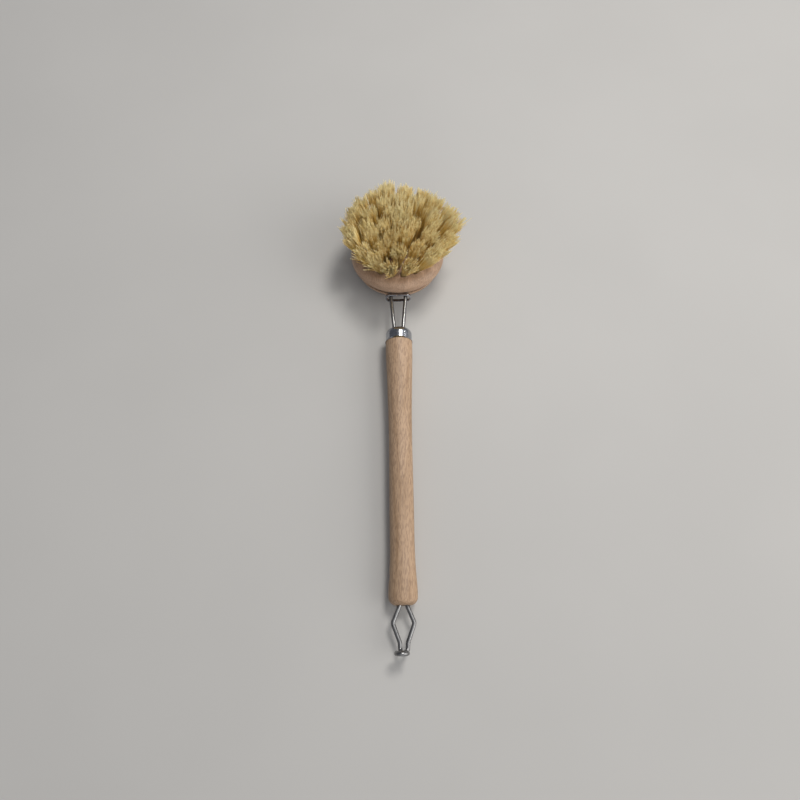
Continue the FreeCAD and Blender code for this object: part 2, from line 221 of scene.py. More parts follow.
def length(name, description, default):
    """Setting for a length in metres."""
    return FloatProperty(
        name=name, description=description, default=default, subtype="DISTANCE", unit="LENGTH",
        precision=5, min=0)


def angle(name, description, default):
    """Setting for an angle, its default in degrees."""
    return FloatProperty(
        name=name, description=description, default=math.radians(default), subtype="ANGLE", unit="ROTATION")


def share(name, description, default):
    """Setting between none and all."""
    return FloatProperty(
        name=name, description=description, default=default, subtype="FACTOR", min=0, max=1)


class BrushWood(bpy.types.PropertyGroup):
    """Beech of the handle and of the head"""

    handle_light: tint("Handle Light", "Early wood of the handle", (0.50, 0.338, 0.217))
    handle_dark: tint("Handle Dark", "Late wood of the handle", (0.345, 0.217, 0.121))
    head_light: tint("Head Light", "Early wood of the head", (0.53, 0.35, 0.232))
    head_dark: tint("Head Dark", "Late wood of the head", (0.39, 0.243, 0.152))
    fleck: tint("Fleck", "Short dark rays in the beech", (0.17, 0.10, 0.06))
    ring_spacing: length("Ring Spacing", "Distance between growth rings", 2.6 * MM)
    fleck_width: length("Fleck Width", "Width of a fleck across the grain", 0.22 * MM)
    fleck_length: length("Fleck Length", "Length of a fleck along the grain", 1.5 * MM)
    roughness: share("Roughness", "Roughness of the raw turned surface", 0.56)


class BrushMetal(bpy.types.PropertyGroup):
    """Plated ferrule and ring, and drawn spring wire"""

    plate: tint("Plate", "Bright plating of the ferrule and the locking ring", (0.42, 0.43, 0.46))
    wire: tint("Wire", "Spring wire of the clamp and the hanging hook", (0.26, 0.256, 0.252))
    anchor: tint("Anchor", "Flat anchors inside the head", (0.55, 0.53, 0.49))
    plate_roughness: share("Plate Roughness", "Roughness of the plating", 0.17)
    wire_roughness: share("Wire Roughness", "Roughness of the wire", 0.3)


class BrushBristles(bpy.types.PropertyGroup):
    """Tufts of stiff plant fibre"""

    fibres: IntProperty(
        name="Fibres", description="Fibres in each tuft, in whole locks", default=540, min=1, max=550)
    clump: IntProperty(
        name="Clump", description="Fibres that stand together in a tuft", default=4, min=1)
    lock: IntProperty(
        name="Lock", description="Fibres that part from the rest of their tuft together", default=27, min=1)
    fibre_thickness: length("Fibre Thickness", "Thickness of one fibre near its root", 0.24 * MM)
    tuft_length: length("Tuft Length", "Length of a tuft above the face of the head", 24.4 * MM)
    unevenness: share("Unevenness", "Share by which the shortest fibres fall short", 0.38)
    crown: share("Crown", "Share by which the outer fibres of a lock fall short", 0.1)
    root_depth: length("Root Depth", "How far the fibres are modelled into their hole", 3.5 * MM)
    hole_radius: length("Hole Radius", "Radius of the bundle where it leaves its hole", 1.5 * MM)
    tip_radius: length("Tip Radius", "Radius of the bundle at its tip", 5.8 * MM)
    lock_radius: length("Lock Radius", "Radius of a lock of fibres at its tip", 1.0 * MM)
    clump_radius: length("Clump Radius", "Radius of a clump of fibres", 0.3 * MM)
    outer_ring_radius: length(
        "Outer Ring Radius", "Distance of the outer tufts from the head's axis", 17.6 * MM)
    face_height: length("Face Height", "Height of the face above the middle of the groove", 9.8 * MM)
    face_dome: length("Face Dome", "How far the face falls away at its edge", 1.2 * MM)
    face_radius: length("Face Radius", "Radius of the face where its dome ends", 20.5 * MM)
    splay: angle("Splay", "Outward lean of the outer tufts", 30)
    sway: length("Sway", "How far a tuft may bend to a side at its tip", 1.7 * MM)
    wander: length("Wander", "How far a clump may leave its place at the tip", 0.3 * MM)
    fan: length("Fan", "How far use has pressed the near right tufts aside", 5.4 * MM)
    sweep: length("Sweep", "How far use has swept the near side tufts onward along the brush", 4.4 * MM)
    fray: length("Fray", "How far the worn near corner and a few strays stand off", 4.6 * MM)
    lean: FloatVectorProperty(
        name="Lean", description="How far use has pushed the side tufts over, across and along the brush",
        default=(2.4 * MM, 0, 0), subtype="XYZ", unit="LENGTH", size=3, precision=5)
    seed: IntProperty(name="Seed", description="Seed of every random choice", default=7, min=0)
    # Painted shade: this tint darkens the fibres near the wood, standing in for the shade that falls between
    # the tufts
    root: tint("Root", "Fibres near the wood", (0.62, 0.435, 0.15))
    straw: tint("Straw", "Middle of the fibres", (1.0, 0.715, 0.205))
    tip: tint("Tip", "Cut tips of the fibres", (1.0, 0.86, 0.475))


class BrushStage(bpy.types.PropertyGroup):
    """Table, lamps and camera"""

    table: tint("Table", "Plain pale table", (0.51, 0.495, 0.47))
    lamp: tint("Lamp", "Colour of the lamps", (1.0, 0.985, 0.965))
    sky: tint("Bright Side", "Colour of the room on the side of the lamps", (0.95, 0.97, 1.0))
    dusk: tint("Dim Side", "Colour of the room on the side away from the lamps", (0.15, 0.155, 0.175))
    fill_strength: FloatProperty(
        name="Fill Strength", description="Level of the light from the room", default=0.9, min=0)
    lamp_power: FloatVectorProperty(
        name="Lamp Power", description="Power of each lamp, in the order of the lamps",
        default=tuple(power for place, size, power in LAMPS.values()), size=len(LAMPS), min=0, unit="POWER")
    camera_place: FloatVectorProperty(
        name="Camera Place", description="Place of the camera",
        default=(-1.84 * MM, -121.0 * MM, 309.7 * MM), subtype="TRANSLATION", unit="LENGTH", size=3,
        precision=5)
    camera_tilt: angle("Camera Tilt", "How far the camera looks up from straight down", 21.92)
    camera_turn: angle("Camera Turn", "Turn of the camera about the upright", -0.9)
    lens: FloatProperty(
        name="Lens", description="Focal length on the camera's sensor", default=29.25, min=1, unit="CAMERA")


# Node building

def feed(tree, node, inputs):
    """Give each named or numbered input of a node a socket or a value."""
    for key, value in inputs.items():
        socket = node.inputs[key]
        if isinstance(value, bpy.types.NodeSocket):
            tree.links.new(value, socket)
        else:
            socket.default_value = value


def add_node(tree, kind, inputs=None, **settings):
    """Add a node, set its options and feed its inputs."""
    node = tree.nodes.new(kind)
    for option, value in settings.items():
        setattr(node, option, value)
    feed(tree, node, inputs or {})
    return node


def maths(tree, operation, *terms):
    """One sum on numbers."""
    node = add_node(tree, "ShaderNodeMath", dict(enumerate(terms)), operation=operation)
    return node.outputs[0]


def product(tree, *factors):
    """Product of several numbers."""
    whole = factors[0]
    for factor in factors[1:]:
        whole = maths(tree, "MULTIPLY", whole, factor)
    return whole


def vector_maths(tree, operation, first, second):
    """One sum on two vectors, or on a vector and its scale."""
    key = "Scale" if operation == "SCALE" else 1
    node = add_node(tree, "ShaderNodeVectorMath", {0: first, key: second}, operation=operation)
    return node.outputs["Vector"]


def added(tree, *steps):
    """Sum of several vectors."""
    whole = steps[0]
    for step in steps[1:]:
        whole = vector_maths(tree, "ADD", whole, step)
    return whole


def from_axes(tree, **parts):
    """Vector from its parts along X, Y and Z."""
    return add_node(tree, "ShaderNodeCombineXYZ", parts).outputs[0]


def ease(tree, value, low, high, to_low=0.0, to_high=1.0):
    """Smooth step of a value between two levels."""
    node = add_node(
        tree, "ShaderNodeMapRange",
        {"Value": value, "From Min": low, "From Max": high, "To Min": to_low, "To Max": to_high},
        interpolation_type="SMOOTHSTEP")
    return node.outputs["Result"]


def blend_tints(tree, factor, first, second):
    """Mix two colours, each a socket or a linear tint."""
    first, second = (
        colour if isinstance(colour, bpy.types.NodeSocket) else (*colour, 1) for colour in (first, second))
    node = add_node(
        tree, "ShaderNodeMix", {"Factor": factor, MIX_FIRST: first, MIX_SECOND: second}, data_type="RGBA")
    return node.outputs[MIX_RESULT]


def grain_noise(tree, coordinates, rate, detail, roughness):
    """Noise whose rate is given for each axis, so that it can run along the grain."""
    stretched = add_node(tree, "ShaderNodeMapping", {"Vector": coordinates, "Scale": rate})
    noise = add_node(
        tree, "ShaderNodeTexNoise",
        {"Vector": stretched.outputs[0], "Scale": 1.0, "Detail": detail, "Roughness": roughness})
    return noise.outputs["Fac"]


def new_finish(name):
    """Empty material with its node tree and its surface shader."""
    material = bpy.data.materials.new(name)
    material.use_nodes = True
    tree = material.node_tree
    return material, tree, tree.nodes["Principled BSDF"]


def object_place(tree):
    """Place on the piece that a material is on."""
    return add_node(tree, "ShaderNodeTexCoord").outputs["Object"]


def roughen(tree, shader, mark, noise, roughness):
    """Let the roughness follow a mark, a little below and above its setting."""
    low, high = ROUGHNESS_SPANS[mark]
    feed(tree, shader, {
        "Roughness": ease(tree, noise, *BANDS[mark], roughness + low, roughness + high)})


def raise_relief(tree, shader, height, depth, strength):
    """Raise the surface by a height pattern."""
    bump = add_node(
        tree, "ShaderNodeBump", {"Strength": strength, "Distance": depth, "Height": height})
    feed(tree, shader, {"Normal": bump.outputs["Normal"]})


def darker(colour, finish):
    """Tint of a finish in its darker places."""
    return tuple(DARKER_SHARES[finish] * part for part in colour)


def put_finish(nodes, material):
    """Put one material on every CAD node named."""
    for name in nodes:
        slots = frame["nodes"][name].data.materials
        slots.clear()
        slots.append(material)


# Finishes

def beech(name, light, dark, wood, pith, tilt, fleck_depth):
    """Raw beech, its grain along the brush: growth rings round a pith, rays and pores."""
    material, tree, shader = new_finish(name)
    turn = tuple(math.radians(part) for part in tilt)
    grain = add_node(
        tree, "ShaderNodeMapping",
        {"Vector": object_place(tree), "Location": pith, "Rotation": turn}).outputs[0]
    parts = add_node(tree, "ShaderNodeSeparateXYZ", {"Vector": grain}).outputs
    across = from_axes(tree, X=parts["X"], Z=parts["Z"])
    reach = add_node(tree, "ShaderNodeVectorMath", {0: across}, operation="LENGTH").outputs["Value"]

    def noise_of(mark):
        """Noise of one mark in this grain."""
        return grain_noise(tree, grain, *PATTERNS[mark])

    rings = maths(tree, "DIVIDE", reach, wood.ring_spacing)
    rings = maths(tree, "MULTIPLY_ADD", noise_of("ring drift"), RING_DRIFT, rings)
    late = ease(tree, maths(tree, "FRACT", rings), *BANDS["late wood"])
    streaks = noise_of("wood streaks")
    depth = maths(tree, "MULTIPLY", late, DARK_SHARES["late wood"])
    for mark, noise in (("wood streaks", streaks), ("wood cloud", noise_of("wood cloud"))):
        depth = maths(tree, "MULTIPLY_ADD", ease(tree, noise, *BANDS[mark]), DARK_SHARES[mark], depth)
    ground = blend_tints(tree, depth, light, dark)

    across_rate = 1 / (2 * wood.fleck_width)
    along_rate = 1 / (2 * wood.fleck_length)
    rays = grain_noise(tree, grain, (across_rate, along_rate, across_rate), detail=1, roughness=0.4)
    flecks = maths(tree, "MULTIPLY", ease(tree, rays, *BANDS["wood flecks"]), fleck_depth)
    flecked = blend_tints(tree, flecks, ground, wood.fleck)
    pores = ease(tree, noise_of("wood pores"), *BANDS["wood pores"])
    pored = blend_tints(
        tree, maths(tree, "MULTIPLY", pores, DARK_SHARES["wood pores"]), flecked, wood.fleck)
    feed(tree, shader, {"Base Color": pored, "Specular IOR Level": 0.5})

    roughen(tree, shader, "wood rub", noise_of("wood rub"), wood.roughness)
    height = maths(tree, "MULTIPLY", streaks, RAISED_SHARES["wood streaks"])
    height = maths(tree, "MULTIPLY_ADD", pores, RAISED_SHARES["wood pores"], height)
    raise_relief(tree, shader, height, *RELIEFS["wood"])
    return material


def plating(name, plate, roughness, scratch_pattern):
    """Bright plating, a little uneven, with fine scratches."""
    material, tree, shader = new_finish(name)
    place = object_place(tree)
    haze = ease(tree, grain_noise(tree, place, *PATTERNS["plating haze"]), *BANDS["plating haze"])
    feed(tree, shader, {
        "Metallic": 1.0, "Base Color": blend_tints(tree, haze, plate, darker(plate, "plating"))})
    scratches = grain_noise(tree, place, *PATTERNS[scratch_pattern])
    roughen(tree, shader, "plating scratches", scratches, roughness)
    raise_relief(tree, shader, scratches, *RELIEFS["plating"])
    return material


def drawn_wire(name, tone, roughness):
    """Drawn wire: a satin surface with marks along the brush and small dark spots."""
    material, tree, shader = new_finish(name)
    place = object_place(tree)
    spots = ease(tree, grain_noise(tree, place, *PATTERNS["wire spots"]), *BANDS["wire spots"])
    feed(tree, shader, {
        "Metallic": 1.0, "Base Color": blend_tints(tree, spots, tone, darker(tone, "wire"))})
    marks = grain_noise(tree, place, *PATTERNS["wire marks"])
    roughen(tree, shader, "wire marks", marks, roughness)
    raise_relief(tree, shader, marks, *RELIEFS["wire"])
    return material


def plant_fibre(name, bristles):
    """Straw-coloured fibre: painted shade that darkens it near the wood, paler cut tips, and fibres, clumps
    and locks of their own tone.
    """
    material, tree, shader = new_finish(name)
    along = add_node(tree, "ShaderNodeAttribute", attribute_name="along").outputs["Fac"]
    tone = add_node(tree, "ShaderNodeAttribute", attribute_name="tone").outputs["Fac"]
    # Painted shade: the fibres darken from straw towards the wood
    shaded_stem = blend_tints(tree, ease(tree, along, *BANDS["root shade to straw"]), bristles.root, bristles.straw)
    whole = blend_tints(tree, ease(tree, along, *BANDS["straw to tip"]), shaded_stem, bristles.tip)
    brown = tuple(part * shift for part, shift in zip(bristles.straw, BROWN_SHARES))
    pale = tuple(min(1.0, part * shift) for part, shift in zip(bristles.tip, PALE_SHARES))
    aged = blend_tints(tree, ease(tree, tone, *BANDS["brown fibres"], 0.0, BROWN_DEPTH), whole, brown)
    worn = maths(
        tree, "MULTIPLY",
        ease(tree, tone, *BANDS["pale fibres"]), ease(tree, along, *BANDS["pale ends"], *PALE_DEPTHS))
    feed(tree, shader, {
        "Base Color": blend_tints(tree, worn, aged, pale),
        "Roughness": ease(tree, along, 0.0, 1.0, *FIBRE_ROUGHNESS),
        "Specular IOR Level": 0.4,
        "Sheen Weight": 0.35,
        "Sheen Roughness": 0.4,
        "Sheen Tint": (*bristles.tip, 1),
    })
    return material


# Bristles

BRISTLE_INPUTS = {
    "NodeSocketInt": ("Tufts", "Fibres", "Clump", "Lock", "Stations", "Seed"),
    "NodeSocketFloat": (
        "Start", "Fibre Thickness", "Ring Radius", "Face Height", "Splay", "Tuft Length", "Unevenness",
        "Crown", "Root Depth", "Hole Radius", "Tip Radius", "Lock Radius", "Clump Radius", "Sway", "Wander",
        "Fan", "Sweep", "Fray"),
    "NodeSocketVector": ("Lean",),
    "NodeSocketMaterial": ("Fibre",),
}


def given(tree, name):
    """Input of the bristle tree by its name."""
    return tree.nodes["given"].outputs[name]


def numbered(tree):
    """Number of each point."""
    return add_node(tree, "GeometryNodeInputIndex").outputs[0]


def group_of(tree, member, size):
    """Number of the group that a numbered member is in, with half a step added against rounding."""
    return maths(tree, "FLOOR", maths(tree, "DIVIDE", maths(tree, "ADD", member, 0.5), size))


def chance(tree, groups, draw, low=0.0, high=1.0, side=0):
    """Random number that is the same for all members of the draw's group."""
    group, number = DRAWS[draw]
    seed = maths(tree, "ADD", given(tree, "Seed"), number + side)
    node = add_node(
        tree, "FunctionNodeRandomValue",
        {RANDOM_LOW: low, RANDOM_HIGH: high, "ID": groups[group], "Seed": seed}, data_type="FLOAT")
    return node.outputs[RANDOM_VALUE]


def spread(tree, groups, draw, reach):
    """Random step to any side, up to a reach each way, by the draw's number and the next."""
    steps = [
        maths(tree, "MULTIPLY", chance(tree, groups, draw, -1.0, 1.0, side), reach) for side in (0, 1)]
    return from_axes(tree, X=steps[0], Y=steps[1])


def keep(tree, geometry, name, value, domain="POINT", kind="FLOAT"):
    """Store a value on the geometry under a name."""
    return add_node(
        tree, "GeometryNodeStoreNamedAttribute", {"Geometry": geometry, "Name": name, "Value": value},
        data_type=kind, domain=domain).outputs[0]


def kept(tree, name):
    """Value stored under a name."""
    return add_node(tree, "GeometryNodeInputNamedAttribute", {"Name": name}, data_type="FLOAT").outputs[0]


def number_groups(tree):
    """Numbers of the fibre, clump, lock and tuft that each point is in."""
    fibre = group_of(tree, numbered(tree), given(tree, "Stations"))
    return {
        "fibre": fibre,
        "clump": group_of(tree, fibre, given(tree, "Clump")),
        "lock": group_of(tree, fibre, given(tree, "Lock")),
        "tuft": group_of(tree, fibre, given(tree, "Fibres")),
    }


def climb_fibres(tree, groups, station, rim):
    """Height of each station up its tuft, and the same as a share of the tuft's length."""
    along = maths(tree, "DIVIDE", station, maths(tree, "SUBTRACT", given(tree, "Stations"), 1))
    cut = maths(tree, "POWER", chance(tree, groups, "fibre cut"), CUT_POWER)
    cut = maths(tree, "MULTIPLY", cut, CUT_SHARES["fibre"])
    for group in ("lock", "tuft"):
        cut = maths(tree, "MULTIPLY_ADD", chance(tree, groups, f"{group} cut"), CUT_SHARES[group], cut)
    fall = product(tree, rim, rim, given(tree, "Crown"))
    fall = maths(tree, "MULTIPLY_ADD", cut, given(tree, "Unevenness"), fall)
    free = maths(tree, "MULTIPLY", given(tree, "Tuft Length"), maths(tree, "SUBTRACT", 1, fall))
    rise = maths(tree, "MULTIPLY", along, maths(tree, "ADD", free, given(tree, "Root Depth")))
    rise = maths(tree, "SUBTRACT", rise, given(tree, "Root Depth"))
    out = maths(tree, "MAXIMUM", maths(tree, "DIVIDE", rise, given(tree, "Tuft Length")), 0.0)
    return rise, out


def flare(tree, out, root_radius, tip_radius):
    """Radius that grows from the hole to the tip."""
    growth = maths(tree, "SUBTRACT", tip_radius, root_radius)
    return maths(tree, "MULTIPLY_ADD", growth, out, root_radius)


def spoke_at(tree, turn_share, radius, height):
    """Point at a share of a full turn and a radius about an upright axis."""
    turn = maths(tree, "MULTIPLY", turn_share, math.tau)
    sides = [maths(tree, "MULTIPLY", maths(tree, way, turn), radius) for way in ("COSINE", "SINE")]
    return from_axes(tree, X=sides[0], Y=sides[1], Z=height)


def place_in_bundle(tree, groups, rim, rise, out):
    """Place of each lock in its bundle, which flares from hole to tip, and of each clump in its lock."""
    half_hole = maths(tree, "DIVIDE", given(tree, "Hole Radius"), 2)
    widest = maths(tree, "SUBTRACT", given(tree, "Tip Radius"), given(tree, "Lock Radius"))
    locks = maths(tree, "DIVIDE", given(tree, "Fibres"), given(tree, "Lock"))
    lock_rank = maths(
        tree, "ADD", maths(tree, "MODULO", groups["lock"], locks), chance(tree, groups, "lock rim"))
    lock_rim = maths(tree, "SQRT", maths(tree, "DIVIDE", lock_rank, locks))
    lock_reach = maths(tree, "MULTIPLY", flare(tree, out, half_hole, widest), lock_rim)
    lock_turn = maths(
        tree, "ADD", maths(tree, "MULTIPLY", groups["lock"], GOLDEN_TURN), chance(tree, groups, "tuft turn"))
    clump_reach = maths(tree, "MULTIPLY", flare(tree, out, half_hole, given(tree, "Lock Radius")), rim)
    return added(
        tree,
        spoke_at(tree, lock_turn, lock_reach, rise),
        spoke_at(tree, chance(tree, groups, "clump turn"), clump_reach, 0.0))


def bend_fibres(tree, groups, bundle, out, bend):
    """Move each fibre in its clump, each clump and each tuft a little, and a few strays a lot."""
    stray = maths(tree, "GREATER_THAN", chance(tree, groups, "stray"), 1 - STRAY_SHARE)
    bends = (
        ("fibre step", "Clump Radius", maths(tree, "MULTIPLY_ADD", out, CLUMP_OPENING, 1)),
        ("clump step", "Wander", bend),
        ("tuft step", "Sway", out),
        ("stray step", "Fray", maths(tree, "MULTIPLY", stray, bend)),
    )
    steps = [
        vector_maths(tree, "SCALE", spread(tree, groups, draw, given(tree, reach)), growth)
        for draw, reach, growth in bends]
    return added(tree, bundle, *steps)


def set_on_ring(tree, groups, bundle):
    """Splay a bundle outward, set it on its ring and turn it to its place, counted from the near end."""
    splayed = add_node(
        tree, "ShaderNodeVectorRotate", {"Vector": bundle, "Angle": given(tree, "Splay")},
        rotation_type="Y_AXIS").outputs[0]
    foot = from_axes(tree, X=given(tree, "Ring Radius"), Z=given(tree, "Face Height"))
    started = maths(tree, "ADD", groups["tuft"], given(tree, "Start"))
    step = maths(tree, "DIVIDE", started, given(tree, "Tufts"))
    heading = maths(tree, "SUBTRACT", maths(tree, "MULTIPLY", step, math.tau), math.pi / 2)
    return add_node(
        tree, "ShaderNodeVectorRotate", {"Vector": added(tree, splayed, foot), "Angle": heading},
        rotation_type="Z_AXIS").outputs[0]


def wear_bristles(tree, groups, turned, out, bend):
    """Wear by use, by the place of a tuft's tip.

    Side tufts are pushed over, near right ones pressed aside, near ones at both sides swept onward, and
    fibres of the near left corner frayed.
    """
    tip = set_on_ring(tree, groups, from_axes(tree, Z=given(tree, "Tuft Length")))
    place = add_node(tree, "ShaderNodeSeparateXYZ", {0: tip}).outputs
    away = add_node(
        tree, "ShaderNodeVectorMath", {0: vector_maths(tree, "MULTIPLY", tip, (1, 1, 0))},
        operation="NORMALIZE").outputs["Vector"]

    def past(edge):
        """How far a tuft's tip has passed an edge of a worn zone."""
        axis, start, full = WEAR_EDGES[edge]
        return ease(tree, place[axis], start, full)

    sides = maths(tree, "ADD", past("pushed on left"), past("pushed on right"))
    pushed = product(tree, past("pushed from near"), past("pushed to far"), sides, out)
    right = product(tree, past("pressed from middle"), past("pressed to right"))
    pressed = product(tree, past("pressed near"), right, out, given(tree, "Fan"))
    beside = maths(tree, "ADD", past("swept on left"), past("swept on right"))
    swept = product(tree, past("swept near"), beside, out, given(tree, "Sweep"))
    corner = product(tree, past("frayed on left"), past("frayed near"))
    picked = maths(tree, "GREATER_THAN", chance(tree, groups, "frayed"), 1 - FRAYED_SHARE)
    fray_reach = chance(tree, groups, "fray reach", FRAY_LEAST_SHARE)
    frayed = product(tree, picked, corner, fray_reach, bend, given(tree, "Fray"))
    return added(
        tree, turned,
        vector_maths(tree, "SCALE", given(tree, "Lean"), pushed),
        vector_maths(tree, "SCALE", SIDE_AXIS, pressed),
        vector_maths(tree, "SCALE", ONWARD_AXIS, swept),
        vector_maths(tree, "SCALE", added(tree, away, FRAY_PULL), frayed))


def make_rods(tree, groups, station, worn, out):
    """Fibres as thin tapering rods that keep their place along the tuft and their tone."""
    tone = maths(tree, "MULTIPLY", chance(tree, groups, "fibre tone"), TONE_SHARES["fibre"])
    for group in ("clump", "lock"):
        tone = maths(tree, "MULTIPLY_ADD", chance(tree, groups, f"{group} tone"), TONE_SHARES[group], tone)
    total = product(tree, given(tree, "Tufts"), given(tree, "Fibres"), given(tree, "Stations"))
    points = add_node(tree, "GeometryNodePoints", {"Count": total, "Position": worn}).outputs[0]
    points = keep(tree, keep(tree, points, "along", out), "tone", tone)
    strands = add_node(
        tree, "GeometryNodePointsToCurves",
        {"Points": points, "Curve Group ID": groups["fibre"], "Weight": station}).outputs[0]
    run = add_node(tree, "GeometryNodeSplineParameter").outputs["Factor"]
    taper = maths(tree, "MULTIPLY_ADD", maths(tree, "POWER", run, TAPER_POWER), -TIP_TAPER, 1)
    strands = add_node(tree, "GeometryNodeSetCurveRadius", {"Curve": strands, "Radius": taper}).outputs[0]
    half_thick = maths(tree, "DIVIDE", given(tree, "Fibre Thickness"), 2)
    section = add_node(
        tree, "GeometryNodeCurvePrimitiveCircle",
        {"Resolution": FIBRE_SIDES, "Radius": half_thick}).outputs[0]
    section = keep(tree, section, "side", maths(tree, "DIVIDE", numbered(tree), FIBRE_SIDES - 1))
    return add_node(
        tree, "GeometryNodeCurveToMesh",
        {"Curve": strands, "Profile Curve": section, "Fill Caps": True}).outputs[0]


def chart_rods(tree, rods):
    """Map of the fibres, with the tone across, the place along the tuft up, and room for each side."""
    side = kept(tree, "side")
    ridge = maths(tree, "SUBTRACT", 1, maths(tree, "ABSOLUTE", maths(tree, "MULTIPLY_ADD", side, 2, -1)))
    shift = maths(tree, "MULTIPLY_ADD", side, CHART_EDGE, CHART_EDGE)
    climb = maths(tree, "MULTIPLY_ADD", ridge, CHART_EDGE, CHART_EDGE)
    chart = from_axes(
        tree,
        X=maths(tree, "MULTIPLY_ADD", kept(tree, "tone"), CHART_SPAN, shift),
        Y=maths(tree, "MULTIPLY_ADD", kept(tree, "along"), CHART_SPAN, climb))
    return keep(tree, rods, "OFBake", chart, "CORNER", "FLOAT2")


def bristle_tree():
    """Node tree that grows one ring of tufts about the head's axis, its face up."""
    tree = bpy.data.node_groups.new("bristle ring", "GeometryNodeTree")
    for kind, names in BRISTLE_INPUTS.items():
        for name in names:
            tree.interface.new_socket(name, in_out="INPUT", socket_type=kind)
    tree.interface.new_socket("Bristles", in_out="OUTPUT", socket_type="NodeSocketGeometry")
    add_node(tree, "NodeGroupInput", name="given")

    # Each point is one station of one fibre, and fibres stand together in clumps, locks and tufts
    station = maths(tree, "MODULO", numbered(tree), given(tree, "Stations"))
    groups = number_groups(tree)
    rim = maths(tree, "POWER", chance(tree, groups, "clump rim"), RIM_POWER)
    rise, out = climb_fibres(tree, groups, station, rim)
    bend = maths(tree, "POWER", out, BEND_POWER)
    bundle = place_in_bundle(tree, groups, rim, rise, out)
    turned = set_on_ring(tree, groups, bend_fibres(tree, groups, bundle, out, bend))
    worn = wear_bristles(tree, groups, turned, out, bend)
    rods = chart_rods(tree, make_rods(tree, groups, station, worn, out))
    smooth = add_node(tree, "GeometryNodeSetShadeSmooth", {"Geometry": rods}).outputs[0]
    real = add_node(tree, "GeometryNodeRealizeInstances", {"Geometry": smooth}).outputs[0]
    finished = add_node(
        tree, "GeometryNodeSetMaterial", {"Geometry": real, "Material": given(tree, "Fibre")}).outputs[0]
    add_node(tree, "NodeGroupOutput", {"Bristles": finished})
    return tree


def head_placement():
    """Turn and place that set a piece built about its own upright axis on the head."""
    onward = HEAD_AXIS.cross(SIDE_AXIS)
    turn = Matrix((SIDE_AXIS, onward, HEAD_AXIS)).transposed()
    return Matrix.Translation(HEAD_CENTRE) @ turn.to_4x4()


def tuft_nodes(ring):
    """Names of the CAD tufts in a ring."""
    count = TUFT_RINGS[ring][0]
    if count == 1:
        return [f"tuft_{ring}"]
    return [f"tuft_{ring}_{number:02d}" for number in range(1, count + 1)]


def grow_ring(ring, tree, bristles, finish):
    """One ring of tufts as a plain mesh on the head, in place of its CAD tufts."""
    count, ring_share, start = TUFT_RINGS[ring]
    ring_radius = bristles.outer_ring_radius * ring_share
    settings = bristles.bl_rna.properties
    sizes = {settings[key].name: getattr(bristles, key) for key in BrushBristles.__annotations__}
    sizes.update({
        "Tufts": count,
        "Start": start,
        "Stations": FIBRE_STATIONS,
        "Ring Radius": ring_radius,
        "Face Height": bristles.face_height - bristles.face_dome * (ring_radius / bristles.face_radius) ** 2,
        "Splay": bristles.splay * ring_share,
        "Seed": bristles.seed + RING_SEED_STEP * count,
        "Fibre": finish,
    })
    grower = bpy.data.objects.new(f"bristles_{ring}", bpy.data.meshes.new(f"bristles_{ring}_seed"))
    bpy.context.scene.collection.objects.link(grower)
    modifier = grower.modifiers.new("bristle ring", "NODES")
    modifier.node_group = tree
    for socket in tree.interface.items_tree:
        if socket.in_out == "INPUT":
            modifier[socket.identifier] = sizes[socket.name]
    grown = bpy.data.meshes.new_from_object(
        grower.evaluated_get(bpy.context.evaluated_depsgraph_get()))
    grower.modifiers.clear()
    if not grown.polygons:
        raise RuntimeError(f"no fibres grew on the {ring} ring")
    grown.name = f"bristles_{ring}"
    grown.transform(head_placement())
    grower.data = grown
    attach(grower, "head")
    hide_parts(*tuft_nodes(ring))


# Stage

def lay_table(stage):
    """Plain table under the brush."""
    sheet = bpy.data.meshes.new("table")
    corners = [(x * TABLE_REACH, y * TABLE_REACH, 0) for x, y in ((-1, -1), (1, -1), (1, 1), (-1, 1))]
    sheet.from_pydata(corners, [], [(0, 1, 2, 3)])
    table = bpy.data.objects.new("table", sheet)
    bpy.context.scene.collection.objects.link(table)
    material, tree, shader = new_finish("pale table")
    noise = grain_noise(tree, object_place(tree), *PATTERNS["table mottle"])
    mottle = ease(tree, noise, *BANDS["table mottle"])
    feed(tree, shader, {
        "Base Color": blend_tints(tree, mottle, stage.table, darker(stage.table, "table")),
        "Roughness": 0.55,
        "Specular IOR Level": 0.2,
    })
    sheet.materials.append(material)


def hang_lamp(name, place, size, power, colour):
    """Square lamp that faces the middle of the brush."""
    lamp = bpy.data.lights.new(name, "AREA")
    lamp.shape = "SQUARE"
    lamp.size = size
    lamp.energy = power
    lamp.color = colour
    hung = bpy.data.objects.new(name, lamp)
    hung.location = place
    hung.rotation_euler = (-Vector(place)).to_track_quat("-Z", "Y").to_euler()
    bpy.context.scene.collection.objects.link(hung)


def light_room(stage):
    """Soft light from all round, brighter on one side."""
    world = bpy.data.worlds.new("soft fill")
    world.use_nodes = True
    tree = world.node_tree
    outlook = add_node(tree, "ShaderNodeTexCoord").outputs["Generated"]
    facing = add_node(
        tree, "ShaderNodeVectorMath", {0: outlook, 1: BRIGHT_SIDE}, operation="DOT_PRODUCT").outputs["Value"]
    room = blend_tints(tree, ease(tree, facing, 0.0, 1.0), stage.dusk, stage.sky)
    feed(tree, tree.nodes["Background"], {"Color": room, "Strength": stage.fill_strength})
    bpy.context.scene.world = world


def set_camera(stage):
    """Camera above the hanging hook's end, looking towards the head."""
    lens = bpy.data.cameras.new("camera")
    lens.sensor_width = SENSOR_WIDTH
    lens.lens = stage.lens
    lens.clip_start = CLIP_START
    camera = bpy.data.objects.new("camera", lens)
    camera.location = stage.camera_place
    camera.rotation_euler = (stage.camera_tilt, 0, stage.camera_turn)
    bpy.context.scene.collection.objects.link(camera)
    bpy.context.scene.camera = camera


# Operators

